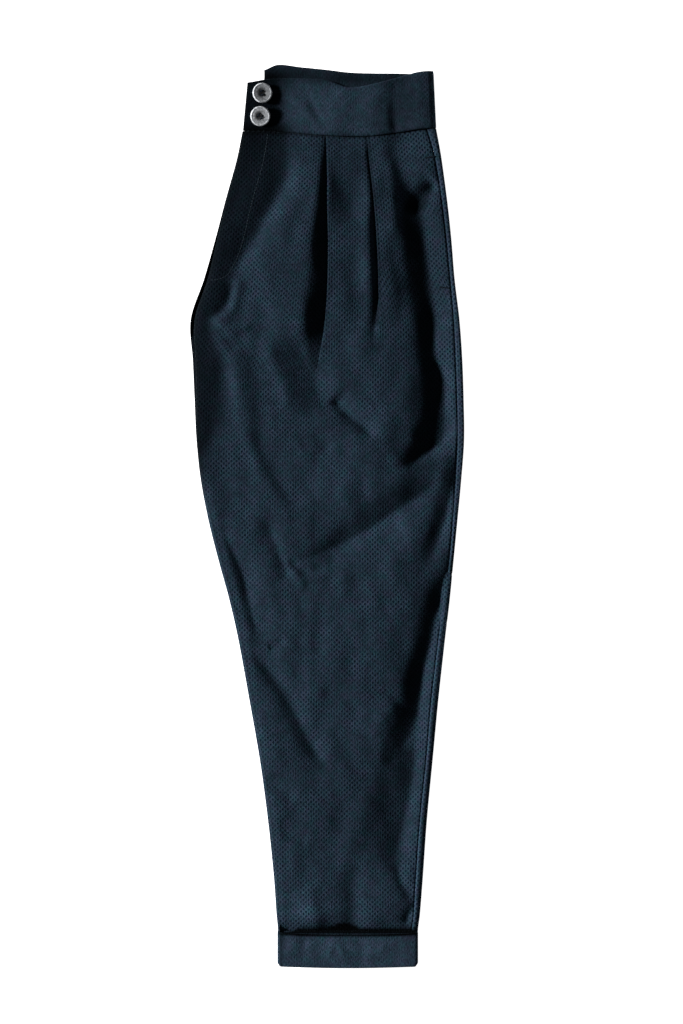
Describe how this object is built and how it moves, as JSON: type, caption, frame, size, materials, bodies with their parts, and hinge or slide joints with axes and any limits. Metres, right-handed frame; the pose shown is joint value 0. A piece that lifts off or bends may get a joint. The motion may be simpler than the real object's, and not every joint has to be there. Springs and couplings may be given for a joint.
{
  "type": "pleated trousers",
  "caption": "High-waisted pleated trousers with turned-up cuffs and a wide waistband, folded in half along the centre front and laid flat.",
  "frame": {"origin": "on the surface that the trousers lie on, under the middle of their outline", "axes": "+Y runs up the legs to the waist, +X to the side seams, +Z away from the surface"},
  "size_m": [0.2859, 0.9481, 0.0281],
  "materials": {
    "navy_cloth": "brushed velveteen, near-black navy",
    "inner_cloth": "the same cloth's inner side",
    "grey_shell": "polished grey shell"
  },
  "bodies": {
    "root": {"front_left": "navy_cloth", "backs_folded": "navy_cloth", "front_right": "navy_cloth", "waistband_front_left": "navy_cloth", "waistband_back": "inner_cloth", "waistband_front_right": "navy_cloth", "cuff_right_front": "navy_cloth", "cuff_right_back": "navy_cloth", "cuff_left_back": "navy_cloth", "cuff_left_front": "navy_cloth", "button_upper": "grey_shell", "button_lower": "grey_shell"}
  },
  "joints": []
}
